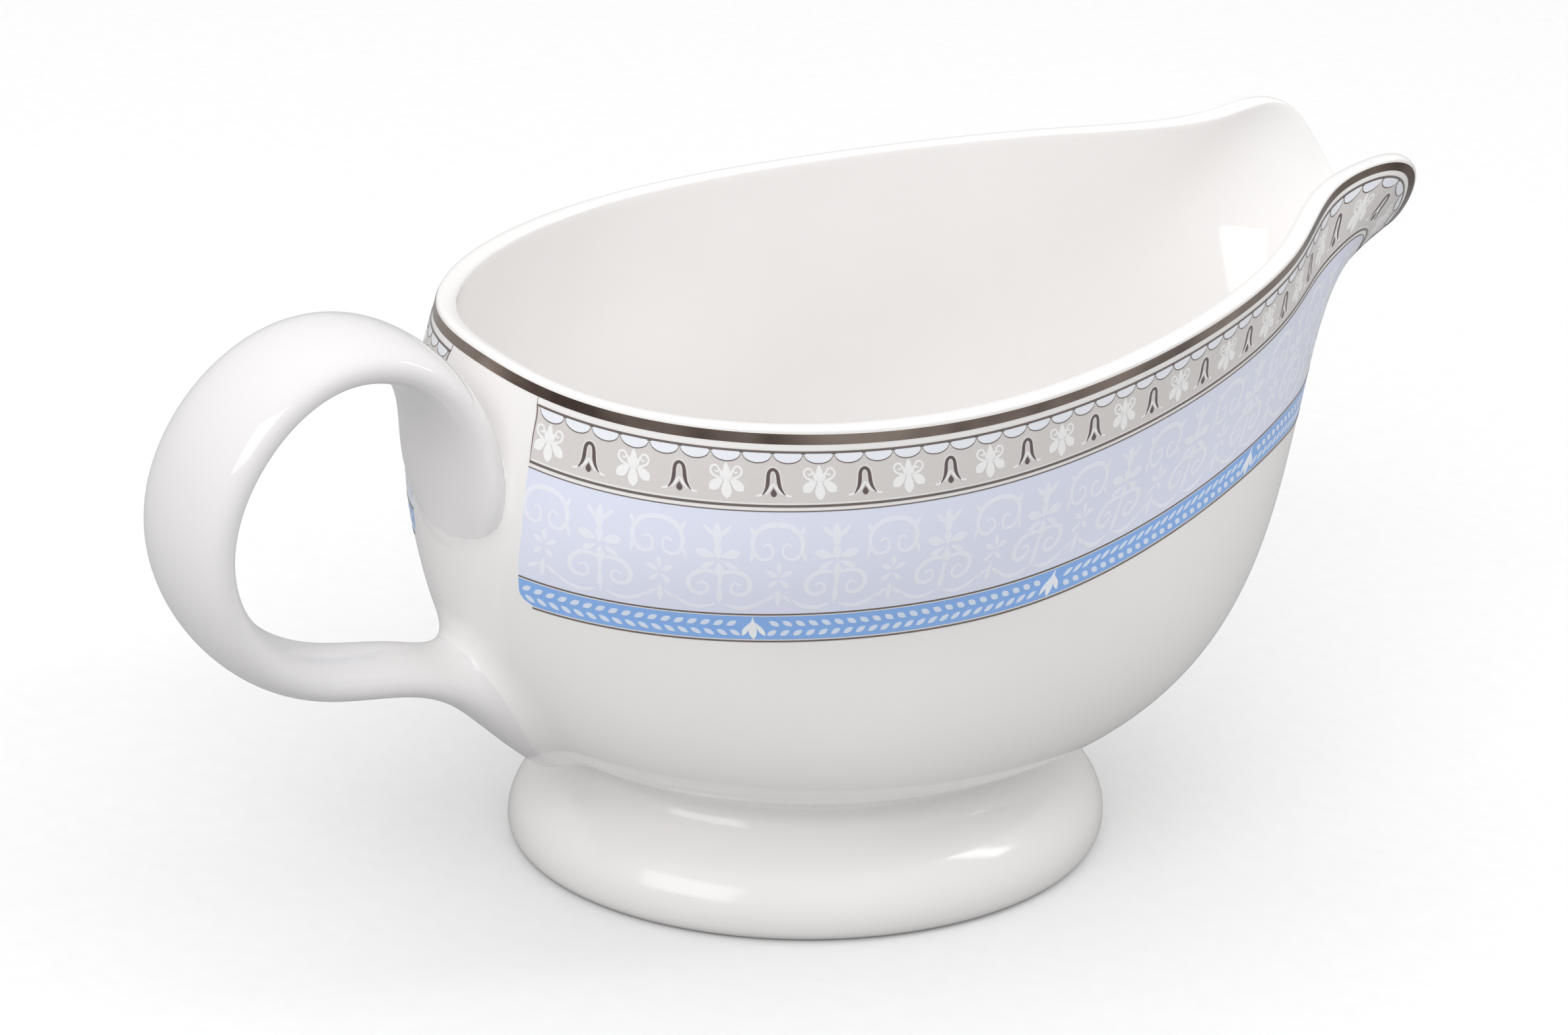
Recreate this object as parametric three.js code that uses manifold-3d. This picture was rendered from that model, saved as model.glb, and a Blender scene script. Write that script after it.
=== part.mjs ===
// A porcelain gravy boat: an oval pouring bowl on a hollow spreading foot, with a strap handle,
// a platinum line under the lip and three printed transfers (grey frieze, pale damask, blue laurel).
// Millimetres, +Z up. The spout points along +X, and the boat is symmetric about the plane y = 0.
import * as THREE from "three";
import { mergeVertices } from "three/addons/utils/BufferGeometryUtils.js";
import Module from "manifold-3d";

const wasm = await Module();
wasm.setup();

// ---------------------------------------------------------------- driving dimensions
const JOINT_GAP = 0.3; // between pieces luted together
const WALL = 2.8; // thickness of the bowl's wall
const LIP_ROUNDING = 0.7; // how far the rounded lip stands above the rim
const FLOOR_Z = 17; // the bowl's flat underside, on top of the foot
const BOAT_SHIFT_X = 8.88; // puts the middle of the overall length at x = 0

// Horizontal ovals that the bowl passes through: half length, half width, centre x and height.
const NECK = { a: 37.6, b: 27.2, x: 0, z: FLOOR_Z };
const UNDER_BELLY = { a: 52, b: 37, x: 0.6, z: 23.5 };
const BELLY = { a: 69.5, b: 43.4, x: 2.2, z: 49 };

// The rim, seen from the spout's tip round to the back; turn is the share of a half turn.
const RIM = {
  tip: { turn: 0, x: 93.2, y: 0, z: 82.8 },
  ear: { turn: 0.1, x: 87.6, y: 14.2, z: 97 },
  throat: { turn: 0.2, x: 72.4, y: 16, z: 98.2 },
  shoulder: { turn: 0.33, x: 52, y: 28.5, z: 93 },
  side: { turn: 0.55, x: -9, y: 45.6, z: 84.2 },
  quarter: { turn: 0.79, x: -55.5, y: 26, z: 81 },
  back: { turn: 1, x: -64.5, y: 0, z: 81.6 },
};
// The section just under the lip: the spout's sides stay upright, and its underside sweeps back.
const UNDER_LIP = {
  tip: { turn: 0, x: 80.4, y: 0, z: 73 },
  ear: { turn: 0.1, x: 75.8, y: 13.2, z: 80 },
  throat: { turn: 0.2, x: 66.4, y: 20.2, z: 81 },
  shoulder: { turn: 0.33, x: 48.2, y: 31.4, z: 76.8 },
  side: { turn: 0.55, x: -9, y: 45.2, z: 67.2 },
  quarter: { turn: 0.79, x: -57.2, y: 26.9, z: 64.6 },
  back: { turn: 1, x: -68.1, y: 0, z: 65.6 },
};
const SPOUT_SPREAD = 0.22 * Math.PI; // how far round the bowl the spout's flare reaches

// Depths are lengths along the wall, measured down from the rim.
// The lower bands run deeper under the spout than at the back.
const PLATINUM = { top: 0.3, bottom: 1.7 };
const FRIEZE = { top: 2.6, bottom: 10.5 };
const DAMASK = { top: 10.8, bottom: 26.9 };
const LAUREL = { top: 27.2, bottom: 31.9 };
const DEEPER_AT_SPOUT = 6;
const TRANSFER_END = 0.906 * Math.PI; // the transfers stop either side of the handle
const SKIN_GAP = 0.05;
const SKIN = 0.12; // thickness of the printed and painted skins

// The foot: half length and half width where it is widest, and its section as [inset, height].
const FOOT = { a: 47.2, b: 36.8 };
const FOOT_OUTSIDE = [
  [1.8, 0],
  [0.5, 0.9],
  [0, 2.8],
  [0.5, 5.4],
  [2.4, 8.3],
  [5.6, 10.8],
  [8.2, 12.6],
  [9.5, 14.6],
  [9.8, FLOOR_Z - JOINT_GAP],
];
const FOOT_INSIDE = [
  [14.6, FLOOR_Z - JOINT_GAP],
  [12.6, 12],
  [7.6, 6],
  [5.4, 1.2],
  [4.4, 0],
];

// The handle's centre line in the plane y = 0, from the tongue's tip down to the tail,
// with the strap's width and thickness at each station.
const STRAP = [
  { x: -66.9, z: 56.2, width: 8, thick: 3.4 },
  { x: -67.3, z: 59.2, width: 17.5, thick: 4.6 },
  { x: -68, z: 64.6, width: 24, thick: 5.6 },
  { x: -69.8, z: 73, width: 23, thick: 6.6 },
  { x: -77.4, z: 82.3, width: 20, thick: 7 },
  { x: -90.4, z: 84.4, width: 18.8, thick: 7.4 },
  { x: -102, z: 76.6, width: 19.4, thick: 8 },
  { x: -107, z: 61.5, width: 19.4, thick: 8 },
  { x: -101, z: 47.2, width: 17.4, thick: 7.4 },
  { x: -87, z: 39, width: 13.6, thick: 6.6 },
  { x: -70, z: 36.2, width: 12.6, thick: 6.4 },
  { x: -58.6, z: 30, width: 12.6, thick: 6.4 },
  { x: -48, z: 21, width: 5, thick: 5 },
];

// How finely the surfaces are divided.
const MERIDIANS = 64;
const STRAP_STEPS = 60;
const STRAP_SIDES = 14;
const LOWER_WALL_ROWS = 8;
const LIP_ROWS = 4;

// ---------------------------------------------------------------- curves
/** Cubic spline with free ends through values at increasing knots, as a function. */
function spline(knots, values) {
  const last = knots.length - 1;
  const gap = (i) => knots[i + 1] - knots[i];
  const slope = (i) => (values[i + 1] - values[i]) / gap(i);
  const share = [0];
  const load = [0];
  for (let i = 1; i < last; i++) {
    const pivot = 2 * (gap(i - 1) + gap(i)) - gap(i - 1) * share[i - 1];
    share[i] = gap(i) / pivot;
    load[i] = (6 * (slope(i) - slope(i - 1)) - gap(i - 1) * load[i - 1]) / pivot;
  }
  const bend = new Array(last + 1).fill(0);
  for (let i = last - 1; i > 0; i--) bend[i] = load[i] - share[i] * bend[i + 1];
  return (at) => {
    let i = 0;
    while (i < last - 1 && at > knots[i + 1]) i++;
    const h = gap(i);
    const b = (at - knots[i]) / h;
    const a = 1 - b;
    const curved = (a ** 3 - a) * bend[i] + (b ** 3 - b) * bend[i + 1];
    return a * values[i] + b * values[i + 1] + (curved * h * h) / 6;
  };
}

/** A closed curve through stations given on one side only, mirrored over y = 0. */
function rimCurve(stations) {
  const turns = [];
  const points = [];
  const add = (turn, x, y, z) => {
    turns.push(turn * Math.PI);
    points.push([x, y, z]);
  };
  for (let lap = -1; lap <= 1; lap++) {
    for (const s of stations.slice(0, -1)) add(2 * lap + s.turn, s.x, s.y, s.z);
    for (const s of stations.slice(1).reverse()) add(2 * lap + 2 - s.turn, s.x, -s.y, s.z);
  }
  const axes = [0, 1, 2].map((k) => spline(turns, points.map((p) => p[k])));
  return (angle) => new THREE.Vector3(axes[0](angle), axes[1](angle), axes[2](angle));
}

const rimAt = rimCurve(Object.values(RIM));
const underLipAt = rimCurve(Object.values(UNDER_LIP));

/** 1 at the spout, falling away to nothing round the bowl. */
function nearSpout(angle) {
  const fromSpout = Math.min(angle, 2 * Math.PI - angle);
  return Math.exp(-((fromSpout / SPOUT_SPREAD) ** 2));
}

const ovalPoint = (oval, angle) =>
  new THREE.Vector3(oval.x + oval.a * Math.cos(angle), oval.b * Math.sin(angle), oval.z);

/** The five points that the wall passes through at an angle, from the neck up to the rim. */
function wallStations(angle) {
  const ovals = [NECK, UNDER_BELLY, BELLY].map((oval) => ovalPoint(oval, angle));
  return ovals.concat([underLipAt(angle), rimAt(angle)]);
}

const angles = Array.from({ length: MERIDIANS }, (_, i) => (i * 2 * Math.PI) / MERIDIANS);

/** Shares of the wall's height for its five stations, from their mean spacing. */
function stationKnots() {
  const gaps = [0, 0, 0, 0];
  for (const angle of angles) {
    const p = wallStations(angle);
    gaps.forEach((_, i) => (gaps[i] += p[i + 1].distanceTo(p[i])));
  }
  const total = gaps.reduce((sum, g) => sum + g, 0);
  return gaps.reduce((knots, g) => knots.concat(knots.at(-1) + g / total), [0]);
}

const KNOTS = stationKnots();

/** The outside of the wall as a function of angle and of height share, 0 at the neck and 1 at the rim. */
function wallAt(angle) {
  const p = wallStations(angle);
  const axes = ["x", "y", "z"].map((k) => spline(KNOTS, p.map((q) => q[k])));
  return (share) => new THREE.Vector3(axes[0](share), axes[1](share), axes[2](share));
}

/** Height shares of the points at given depths below the rim, measured along the wall. */
function sharesAtDepths(angle, depths) {
  const wall = wallAt(angle);
  const steps = 120;
  const shares = [1];
  const lengths = [0];
  for (let i = 1; i <= steps; i++) {
    shares.push(1 - i / steps);
    lengths.push(lengths.at(-1) + wall(shares[i]).distanceTo(wall(shares[i - 1])));
  }
  return depths.map((depth) => {
    const i = lengths.findIndex((length) => length >= depth);
    if (i < 1) return 1;
    const part = (depth - lengths[i - 1]) / (lengths[i] - lengths[i - 1]);
    return shares[i - 1] + part * (shares[i] - shares[i - 1]);
  });
}

/** The wall's outward unit normal. */
function wallNormal(angle, share) {
  const step = 0.002;
  const low = Math.max(share - step, 0);
  const high = Math.min(share + step, 1);
  const up = wallAt(angle)(high).sub(wallAt(angle)(low));
  const round = wallAt(angle + step)(share).sub(wallAt(angle - step)(share));
  return round.cross(up).normalize();
}

// ---------------------------------------------------------------- meshes
function indexedGeometry(points, faces) {
  const geometry = new THREE.BufferGeometry();
  const positions = points.flatMap((p) => [p.x, p.y, p.z]);
  geometry.setAttribute("position", new THREE.Float32BufferAttribute(positions, 3));
  geometry.setIndex(faces);
  return geometry;
}

/** A closed geometry from closed rings of points: its ends are capped with fans, or joined if looped. */
function ringsGeometry(rings, { looped = false } = {}) {
  const count = rings[0].length;
  const points = rings.flat();
  const faces = [];
  const bands = looped ? rings.length : rings.length - 1;
  for (let r = 0; r < bands; r++) {
    const lower = r * count;
    const upper = ((r + 1) % rings.length) * count;
    for (let i = 0; i < count; i++) {
      const next = (i + 1) % count;
      faces.push(lower + i, lower + next, upper + next, lower + i, upper + next, upper + i);
    }
  }
  const fan = (ring, start, facesDown) => {
    const hub = points.length;
    points.push(ring.reduce((sum, p) => sum.add(p), new THREE.Vector3()).divideScalar(count));
    for (let i = 0; i < count; i++) {
      const [a, b] = [start + i, start + ((i + 1) % count)];
      faces.push(hub, facesDown ? b : a, facesDown ? a : b);
    }
  };
  if (!looped) {
    fan(rings[0], 0, true);
    fan(rings.at(-1), (rings.length - 1) * count, false);
  }
  return indexedGeometry(points, faces);
}

/** A thin closed slab between two like grids of points, whose columns may close on themselves. */
function slabGeometry(innerRows, outerRows, closed) {
  const rows = innerRows.length;
  const columns = innerRows[0].length;
  const inner = (r, i) => r * columns + (i % columns);
  const outer = (r, i) => rows * columns + inner(r, i);
  const faces = [];
  const quad = (a, b, c, d) => faces.push(a, b, c, a, c, d);
  const spans = closed ? columns : columns - 1;
  for (let i = 0; i < spans; i++) {
    for (let r = 0; r < rows - 1; r++) {
      quad(outer(r, i), outer(r, i + 1), outer(r + 1, i + 1), outer(r + 1, i));
      quad(inner(r + 1, i + 1), inner(r, i + 1), inner(r, i), inner(r + 1, i));
    }
    quad(inner(0, i), inner(0, i + 1), outer(0, i + 1), outer(0, i));
    quad(outer(rows - 1, i), outer(rows - 1, i + 1), inner(rows - 1, i + 1), inner(rows - 1, i));
  }
  for (let r = 0; r < rows - 1 && !closed; r++) {
    const end = columns - 1;
    quad(inner(r, 0), outer(r, 0), outer(r + 1, 0), inner(r + 1, 0));
    quad(outer(r, end), inner(r, end), inner(r + 1, end), outer(r + 1, end));
  }
  return indexedGeometry([...innerRows, ...outerRows].flat(), faces);
}

/** A closed geometry as a manifold-3d solid. */
function toSolid(geometry) {
  const merged = mergeVertices(geometry, 1e-4);
  return new wasm.Manifold(
    new wasm.Mesh({
      numProp: 3,
      vertProperties: merged.attributes.position.array,
      triVerts: new Uint32Array(merged.index.array),
    }),
  );
}

/** A manifold-3d solid as a geometry. */
function toGeometry(solid) {
  const mesh = solid.getMesh();
  const geometry = new THREE.BufferGeometry();
  geometry.setAttribute("position", new THREE.BufferAttribute(mesh.vertProperties, 3));
  geometry.setIndex(new THREE.BufferAttribute(mesh.triVerts, 1));
  geometry.computeVertexNormals();
  return geometry;
}

const boat = new THREE.Group();
boat.name = "gravy_boat";
boat.position.x = BOAT_SHIFT_X;

function addPiece(name, geometry, look) {
  geometry.computeVertexNormals();
  const mesh = new THREE.Mesh(geometry, new THREE.MeshStandardMaterial(look));
  mesh.name = name;
  boat.add(mesh);
}

const PORCELAIN = { color: 0xf4f3f0, roughness: 0.12, metalness: 0 };
const METAL = { color: 0xb9b2aa, roughness: 0.15, metalness: 1 };
const GREY_PRINT = { color: 0xcdcac6, roughness: 0.15, metalness: 0 };
const PALE_PRINT = { color: 0xd7def3, roughness: 0.15, metalness: 0 };
const BLUE_PRINT = { color: 0x6f9fdc, roughness: 0.15, metalness: 0 };

// ---------------------------------------------------------------- bowl
// The skins' edges are rows of the wall, so each skin lies true on it; the lower bands take extra rows.
const split = (band, parts) =>
  Array.from({ length: parts + 1 }, (_, i) => band.top + ((band.bottom - band.top) * i) / parts);
const SKIN_DEPTHS = [...split(PLATINUM, 1), ...split(FRIEZE, 2), ...split(DAMASK, 3), ...split(LAUREL, 1)];

/** A depth at the back, carried round the bowl at an angle: below the frieze it grows towards the spout. */
function depthAt(depth, angle) {
  const lowness = Math.max(0, (depth - FRIEZE.bottom) / (LAUREL.bottom - FRIEZE.bottom));
  return depth + lowness * DEEPER_AT_SPOUT * nearSpout(angle);
}

/** Height shares of every row at an angle, from the neck up to the rim. */
function rowShares(angle) {
  const depths = SKIN_DEPTHS.map((depth) => depthAt(depth, angle));
  const printed = sharesAtDepths(angle, [0, ...depths]);
  const lowest = printed.at(-1);
  const below = Array.from({ length: LOWER_WALL_ROWS }, (_, i) => (lowest * i) / LOWER_WALL_ROWS);
  return below.concat(printed.reverse());
}

const shares = angles.map(rowShares);
const walls = angles.map(wallAt);
const ROWS = shares[0].length;
const outside = Array.from({ length: ROWS }, (_, r) => angles.map((_, i) => walls[i](shares[i][r])));
const normals = Array.from({ length: ROWS }, (_, r) =>
  angles.map((angle, i) => wallNormal(angle, shares[i][r])),
);
const offsetRow = (r, distance) => outside[r].map((p, i) => p.clone().addScaledVector(normals[r][i], distance));

/** The half-round lip between the wall's outside and inside, as rows over the rim. */
function lipRows() {
  const radius = WALL / 2;
  return Array.from({ length: LIP_ROWS }, (_, k) => {
    const turn = (Math.PI * (k + 1)) / (LIP_ROWS + 1);
    return outside.at(-1).map((p, i) => {
      const normal = normals.at(-1)[i];
      const along = walls[i](1).sub(walls[i](0.99)).normalize();
      return p
        .clone()
        .addScaledVector(normal, -radius * (1 - Math.cos(turn)))
        .addScaledVector(along, LIP_ROUNDING * Math.sin(turn));
    });
  });
}

function bowlGeometry() {
  const inside = [];
  for (let r = ROWS - 1; r >= 0; r -= 2) inside.push(offsetRow(r, -WALL));
  return ringsGeometry([...outside, ...lipRows(), ...inside]);
}

/** Everything within the bowl's outside, grown by the joint's gap, to trim pieces luted onto it. */
function bowlEnvelope() {
  return toSolid(ringsGeometry(outside.map((_, r) => offsetRow(r, JOINT_GAP))));
}

addPiece("bowl", bowlGeometry(), PORCELAIN);

// ---------------------------------------------------------------- foot
function footGeometry() {
  const section = [...FOOT_OUTSIDE, ...FOOT_INSIDE];
  const rings = section.map(([inset, z]) =>
    angles.map((angle) => ovalPoint({ a: FOOT.a - inset, b: FOOT.b - inset, x: 0, z }, angle)),
  );
  return ringsGeometry(rings, { looped: true });
}

addPiece("foot", footGeometry(), PORCELAIN);

// ---------------------------------------------------------------- handle
function strapGeometry() {
  const knots = [0];
  STRAP.slice(1).forEach((s, i) => {
    knots.push(knots[i] + Math.hypot(s.x - STRAP[i].x, s.z - STRAP[i].z));
  });
  const at = Object.fromEntries(
    ["x", "z", "width", "thick"].map((key) => [key, spline(knots, STRAP.map((s) => s[key]))]),
  );
  const length = knots.at(-1);
  const rings = Array.from({ length: STRAP_STEPS + 1 }, (_, step) => {
    const s = (length * step) / STRAP_STEPS;
    const along = new THREE.Vector3(at.x(s + 0.1) - at.x(s - 0.1), 0, at.z(s + 0.1) - at.z(s - 0.1));
    const across = new THREE.Vector3(-along.z, 0, along.x).normalize();
    return Array.from({ length: STRAP_SIDES }, (_, k) => {
      const turn = (2 * Math.PI * k) / STRAP_SIDES;
      return new THREE.Vector3(at.x(s), (Math.cos(turn) * at.width(s)) / 2, at.z(s)).addScaledVector(
        across,
        (Math.sin(turn) * at.thick(s)) / 2,
      );
    });
  });
  return ringsGeometry(rings);
}

function handleGeometry() {
  const trimmed = toSolid(strapGeometry()).subtract(bowlEnvelope());
  const largest = trimmed.decompose().sort((a, b) => b.volume() - a.volume())[0];
  return toGeometry(largest);
}

addPiece("handle", handleGeometry(), PORCELAIN);

// ---------------------------------------------------------------- platinum line and transfers
/** A thin skin over the wall between two rows, all the way round or on the given columns. */
function skinGeometry(lowRow, highRow, columns) {
  const layer = (distance) => {
    const rows = [];
    for (let r = lowRow; r <= highRow; r++) {
      const row = offsetRow(r, distance);
      rows.push(columns ? columns.map((i) => row[i]) : row);
    }
    return rows;
  };
  return slabGeometry(layer(SKIN_GAP), layer(SKIN_GAP + SKIN), !columns);
}

/** The row of the wall at a skin's edge. */
const rowAt = (depth) => ROWS - 2 - SKIN_DEPTHS.indexOf(depth);

const endColumn = Math.round((TRANSFER_END / (2 * Math.PI)) * MERIDIANS);
const printedColumns = Array.from(
  { length: 2 * endColumn + 1 },
  (_, i) => (i - endColumn + MERIDIANS) % MERIDIANS,
);

addPiece("rim_line", skinGeometry(rowAt(PLATINUM.bottom), rowAt(PLATINUM.top)), METAL);
for (const [name, band, look] of [
  ["frieze_transfer", FRIEZE, GREY_PRINT],
  ["damask_transfer", DAMASK, PALE_PRINT],
  ["laurel_transfer", LAUREL, BLUE_PRINT],
]) {
  addPiece(name, skinGeometry(rowAt(band.bottom), rowAt(band.top), printedColumns), look);
}

export default boat;
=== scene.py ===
import math

import bpy
import numpy as np
from mathutils import Matrix, Vector
from mathutils.bvhtree import BVHTree


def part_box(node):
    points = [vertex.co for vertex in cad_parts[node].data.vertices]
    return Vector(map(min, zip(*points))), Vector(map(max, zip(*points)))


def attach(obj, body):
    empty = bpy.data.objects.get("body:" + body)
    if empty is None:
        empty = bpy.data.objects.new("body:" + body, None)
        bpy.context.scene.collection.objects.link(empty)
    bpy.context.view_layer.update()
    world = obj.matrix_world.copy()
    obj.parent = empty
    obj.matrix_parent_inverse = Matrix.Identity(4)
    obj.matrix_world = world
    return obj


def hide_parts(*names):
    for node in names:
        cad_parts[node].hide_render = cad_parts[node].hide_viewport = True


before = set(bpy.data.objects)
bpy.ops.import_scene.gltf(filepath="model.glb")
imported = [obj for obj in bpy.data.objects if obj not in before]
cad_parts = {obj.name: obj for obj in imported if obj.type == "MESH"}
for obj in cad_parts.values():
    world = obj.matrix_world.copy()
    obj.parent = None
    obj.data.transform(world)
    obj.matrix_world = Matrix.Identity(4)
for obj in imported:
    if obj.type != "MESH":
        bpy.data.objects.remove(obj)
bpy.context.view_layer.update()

# The looks of a porcelain gravy boat. Lengths are millimetres in the boat's own frame, whose origin
# is under the middle of the foot and whose spout points along +X; to_world() turns them into the
# part's metres. Depths are lengths along the wall, measured down from the rim.
MM = 0.001
FOOT_LOW, FOOT_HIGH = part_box("foot")
SHIFT_X = (FOOT_LOW.x + FOOT_HIGH.x) / 2 / MM

# ------------------------------------------------------------------ driving dimensions
WALL = 2.8  # thickness
LIP_ROUNDING = 0.55  # how far the rounded lip stands above the rim
FLOOR_Z = 17.0  # the bowl's underside, on top of the foot
INNER_FLOOR_DIP = 0.5  # how far the middle of the bowl's inside lies below its edge
NECK = (37.6, 27.2, 0.0, FLOOR_Z)  # ovals: half length, half width, centre x, height
UNDER_BELLY = (52.0, 37.0, 0.6, 23.5)
BELLY = (69.5, 43.4, 2.2, 49.0)
RIM = [  # share of a half turn from the spout's tip, then x, y, z
    (0.0, 93.2, 0.0, 82.8),  # tip
    (0.1, 87.6, 14.2, 97.0),  # ear
    (0.2, 72.4, 16.0, 98.2),  # throat
    (0.33, 52.0, 28.5, 93.0),  # shoulder
    (0.55, -9.0, 45.6, 84.2),  # side
    (0.79, -55.5, 26.0, 81.0),  # quarter
    (1.0, -64.5, 0.0, 81.6),  # back
]
UNDER_LIP = [  # the section just under the lip
    (0.0, 80.4, 0.0, 73.0), (0.1, 75.8, 13.2, 80.0), (0.2, 66.4, 20.2, 81.0),
    (0.33, 48.2, 31.4, 76.8), (0.55, -9.0, 45.2, 67.2), (0.79, -57.2, 26.9, 64.6),
    (1.0, -68.1, 0.0, 65.6),
]
SPOUT_SPREAD = 0.22 * math.pi  # how far round the bowl the spout's flare reaches

PLATINUM = (0.3, 1.7)  # the bands' top and bottom depths
FRIEZE = (2.6, 10.5)
DAMASK = (10.8, 26.9)
LAUREL = (27.2, 31.9)
DEEPER_AT_SPOUT, SHALLOWER_AT_BACK = 6.0, 1.3  # how the lowest band's depth changes round the bowl
BACK_SPREAD = 0.2 * math.pi
THROAT, THROAT_SPREAD = 0.17 * math.pi, 0.09 * math.pi  # where the frieze is drawn taller
THROAT_STRETCH = 0.3
TRANSFER_ENDS = (-0.906 * math.pi, 0.94 * math.pi)
END_LEAN = ((0.0, 10.0, 20.0, 30.0), (1.0, 0.988, 0.982, 0.989))  # depths, shares of the angle
LEAN_LIMIT = 3.0  # past this angle nothing leans, so that the platinum line still closes

FOOT = (47.2, 36.8)  # half length and half width where it is widest
FOOT_OUTSIDE = [  # inset from the widest oval, height
    (1.8, 0.0), (0.5, 0.9), (0.0, 2.8), (0.5, 5.4), (2.4, 8.3),
    (5.6, 10.8), (8.2, 12.6), (9.5, 14.6), (9.8, 17.4),
]
FOOT_INSIDE = [(14.6, 17.2), (12.6, 12.0), (7.6, 6.0), (5.4, 1.2), (4.4, 0.0)]

STRAP = [  # x, z, width and thickness of the handle, from the tongue's tip to the tail
    (-66.9, 56.2, 8.0, 3.4), (-67.3, 59.2, 17.5, 4.6), (-68.0, 64.6, 24.0, 5.6),
    (-69.8, 73.0, 23.0, 6.6), (-77.4, 82.3, 20.0, 7.0), (-90.4, 84.4, 18.8, 7.4),
    (-102.0, 76.6, 19.4, 8.0), (-107.0, 61.5, 19.4, 8.0), (-101.0, 47.2, 17.4, 7.4),
    (-87.0, 39.0, 13.6, 6.6), (-70.0, 36.2, 12.6, 6.4), (-58.6, 30.0, 12.6, 6.4),
    (-48.0, 21.0, 5.0, 5.0),
]
STRAP_INSET = 0.14  # taken off the strap's half thickness, for its glaze-softened edges
STRAP_SQUARENESS = 0.9  # 1 is an elliptical section, less is squarer

# How finely the surfaces are divided, and how sharply faces may meet before they look creased.
BOWL_COLUMNS = 360
OUTSIDE_ROWS, INSIDE_ROWS, LIP_ROWS = 130, 80, 11
STRAP_ROWS, STRAP_SIDES = 260, 56
KNOT_ANGLES = 64
CREASE_ANGLE = math.radians(48)


# ------------------------------------------------------------------ curves and the bowl's wall
def natural_spline(knots, values):
    """Cubic spline with free ends through values (points along the first axis), as a function."""
    knots, values = np.asarray(knots, float), np.asarray(values, float)
    gaps = np.diff(knots)
    column = (-1,) + (1,) * (values.ndim - 1)
    slopes = np.diff(values, axis=0) / gaps.reshape(column)
    system = np.eye(len(knots))
    loads = np.zeros_like(values)
    for i in range(1, len(knots) - 1):
        system[i, i - 1 : i + 2] = gaps[i - 1], 2 * (gaps[i - 1] + gaps[i]), gaps[i]
        loads[i] = 6 * (slopes[i] - slopes[i - 1])
    bend = np.linalg.solve(system, loads.reshape(len(knots), -1)).reshape(values.shape)

    def at(x):
        x = np.atleast_1d(np.asarray(x, float))
        i = np.clip(np.searchsorted(knots, x, side="right") - 1, 0, len(gaps) - 1)
        h = gaps[i].reshape(column)
        b = ((x - knots[i]) / gaps[i]).reshape(column)
        a = 1 - b
        curved = (a**3 - a) * bend[i] + (b**3 - b) * bend[i + 1]
        return a * values[i] + b * values[i + 1] + curved * h * h / 6

    return at


def closed_curve(stations):
    """A closed curve through stations given on one side only, mirrored over y = 0."""
    turns, points = [], []
    for lap in (-1, 0, 1):
        for turn, x, y, z in stations[:-1]:
            turns.append(2 * lap + turn)
            points.append((x, y, z))
        for turn, x, y, z in stations[:0:-1]:
            turns.append(2 * lap + 2 - turn)
            points.append((x, -y, z))
    return natural_spline(np.array(turns) * math.pi, points)


rim_at = closed_curve(RIM)
under_lip_at = closed_curve(UNDER_LIP)


def near_spout(angle):
    """1 at the spout, falling away to nothing round the bowl."""
    from_spout = np.abs((angle + math.pi) % (2 * math.pi) - math.pi)
    return np.exp(-((from_spout / SPOUT_SPREAD) ** 2))


def oval(shape, angle):
    a, b, x, z = shape
    return np.stack([x + a * np.cos(angle), b * np.sin(angle), np.full_like(angle, z)], -1)


def wall_stations(angle):
    """The five points that the wall passes through at each angle, neck to rim: (5, angles, 3)."""
    wrapped = angle % (2 * math.pi)
    ovals = [oval(s, angle) for s in (NECK, UNDER_BELLY, BELLY)]
    return np.stack([*ovals, under_lip_at(wrapped), rim_at(wrapped)])


def station_knots():
    """Shares of the wall's height for its five stations, from their mean spacing."""
    points = wall_stations(np.arange(KNOT_ANGLES) * 2 * math.pi / KNOT_ANGLES)
    gaps = np.linalg.norm(np.diff(points, axis=0), axis=2).mean(1)
    return np.concatenate([[0], np.cumsum(gaps) / gaps.sum()])


KNOTS = station_knots()


def wall_grid(angles, shares):
    """Points and outward normals of the wall's outside, (shares, angles, 3)."""
    points = natural_spline(KNOTS, wall_stations(angles))(shares)
    step = 1e-3
    up = natural_spline(KNOTS, wall_stations(angles))(np.minimum(shares + step, 1.0))
    up -= natural_spline(KNOTS, wall_stations(angles))(np.maximum(shares - step, 0.0))
    turn = natural_spline(KNOTS, wall_stations(angles + step))(shares)
    turn -= natural_spline(KNOTS, wall_stations(angles - step))(shares)
    normals = np.cross(turn, up)
    return points, normals / np.linalg.norm(normals, axis=2)[..., None]


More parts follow.
